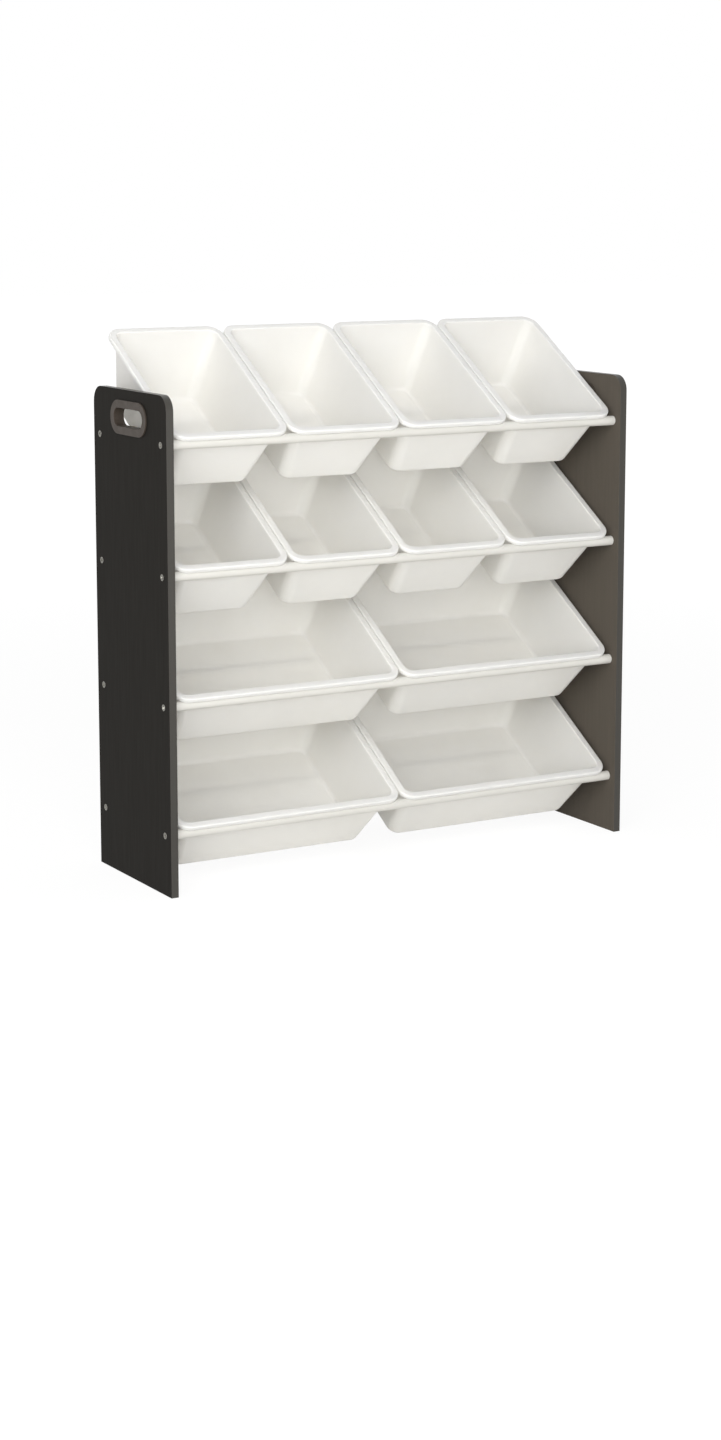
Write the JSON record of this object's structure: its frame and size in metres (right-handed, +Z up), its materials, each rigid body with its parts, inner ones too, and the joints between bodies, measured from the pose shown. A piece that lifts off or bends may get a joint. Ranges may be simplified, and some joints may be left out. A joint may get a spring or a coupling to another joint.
{
  "type": "toy storage organizer",
  "caption": "Open floor-standing toy organizer: two side panels with hand slots, paired cross rods in tiers and forward-tilted lift-out plastic bins.",
  "frame": {"origin": "on the floor, in the middle of the organizer's outline seen from above", "axes": "+Z up, +Y to the back, +X to the right as seen from the front"},
  "size_m": [0.8666, 0.2936, 0.8762],
  "materials": {
    "panel_board": "dark satin laminate on engineered wood board",
    "handle_insert": "moulded, satin",
    "rod_tube": "white powder coat, satin",
    "rod_plug": "moulded, satin",
    "screw_steel": "zinc plated",
    "bin_plastic": "translucent white polypropylene, satin"
  },
  "bodies": {
    "frame": {"left_panel": "panel_board", "left_handle_outer": "handle_insert", "left_handle_inner": "handle_insert", "left_screws": "screw_steel", "right_panel": "panel_board", "right_handle_outer": "handle_insert", "right_handle_inner": "handle_insert", "right_screws": "screw_steel", "tier_1_front_rod": "rod_tube", "tier_1_front_plugs": "rod_plug", "tier_1_rear_rod": "rod_tube", "tier_1_rear_plugs": "rod_plug", "tier_2_front_rod": "rod_tube", "tier_2_front_plugs": "rod_plug", "tier_2_rear_rod": "rod_tube", "tier_2_rear_plugs": "rod_plug", "tier_3_front_rod": "rod_tube", "tier_3_front_plugs": "rod_plug", "tier_3_rear_rod": "rod_tube", "tier_3_rear_plugs": "rod_plug", "tier_4_front_rod": "rod_tube", "tier_4_front_plugs": "rod_plug", "tier_4_rear_rod": "rod_tube", "tier_4_rear_plugs": "rod_plug"},
    "tier_1_bin_1_body": {"tier_1_bin_1": "bin_plastic"},
    "tier_1_bin_2_body": {"tier_1_bin_2": "bin_plastic"},
    "tier_1_bin_3_body": {"tier_1_bin_3": "bin_plastic"},
    "tier_1_bin_4_body": {"tier_1_bin_4": "bin_plastic"},
    "tier_2_bin_1_body": {"tier_2_bin_1": "bin_plastic"},
    "tier_2_bin_2_body": {"tier_2_bin_2": "bin_plastic"},
    "tier_2_bin_3_body": {"tier_2_bin_3": "bin_plastic"},
    "tier_2_bin_4_body": {"tier_2_bin_4": "bin_plastic"},
    "tier_3_bin_1_body": {"tier_3_bin_1": "bin_plastic"},
    "tier_3_bin_2_body": {"tier_3_bin_2": "bin_plastic"},
    "tier_4_bin_1_body": {"tier_4_bin_1": "bin_plastic"},
    "tier_4_bin_2_body": {"tier_4_bin_2": "bin_plastic"}
  },
  "joints": [
    {"name": "tier_1_bin_1_lift", "type": "slide", "parent": "frame", "child": "tier_1_bin_1_body", "axis": [0, -0.6622, 0.7494], "range_m": [0, 0.24]},
    {"name": "tier_1_bin_2_lift", "type": "slide", "parent": "frame", "child": "tier_1_bin_2_body", "axis": [0, -0.6622, 0.7494], "range_m": [0, 0.24]},
    {"name": "tier_1_bin_3_lift", "type": "slide", "parent": "frame", "child": "tier_1_bin_3_body", "axis": [0, -0.6622, 0.7494], "range_m": [0, 0.24]},
    {"name": "tier_1_bin_4_lift", "type": "slide", "parent": "frame", "child": "tier_1_bin_4_body", "axis": [0, -0.6622, 0.7494], "range_m": [0, 0.24]},
    {"name": "tier_2_bin_1_lift", "type": "slide", "parent": "frame", "child": "tier_2_bin_1_body", "axis": [0, -0.6622, 0.7494], "range_m": [0, 0.048]},
    {"name": "tier_2_bin_2_lift", "type": "slide", "parent": "frame", "child": "tier_2_bin_2_body", "axis": [0, -0.6622, 0.7494], "range_m": [0, 0.048]},
    {"name": "tier_2_bin_3_lift", "type": "slide", "parent": "frame", "child": "tier_2_bin_3_body", "axis": [0, -0.6622, 0.7494], "range_m": [0, 0.048]},
    {"name": "tier_2_bin_4_lift", "type": "slide", "parent": "frame", "child": "tier_2_bin_4_body", "axis": [0, -0.6622, 0.7494], "range_m": [0, 0.048]},
    {"name": "tier_3_bin_1_lift", "type": "slide", "parent": "frame", "child": "tier_3_bin_1_body", "axis": [0, -0.6622, 0.7494], "range_m": [0, 0.048]},
    {"name": "tier_3_bin_2_lift", "type": "slide", "parent": "frame", "child": "tier_3_bin_2_body", "axis": [0, -0.6622, 0.7494], "range_m": [0, 0.048]},
    {"name": "tier_4_bin_1_lift", "type": "slide", "parent": "frame", "child": "tier_4_bin_1_body", "axis": [0, -0.6622, 0.7494], "range_m": [0, 0.048]},
    {"name": "tier_4_bin_2_lift", "type": "slide", "parent": "frame", "child": "tier_4_bin_2_body", "axis": [0, -0.6622, 0.7494], "range_m": [0, 0.048]}
  ]
}
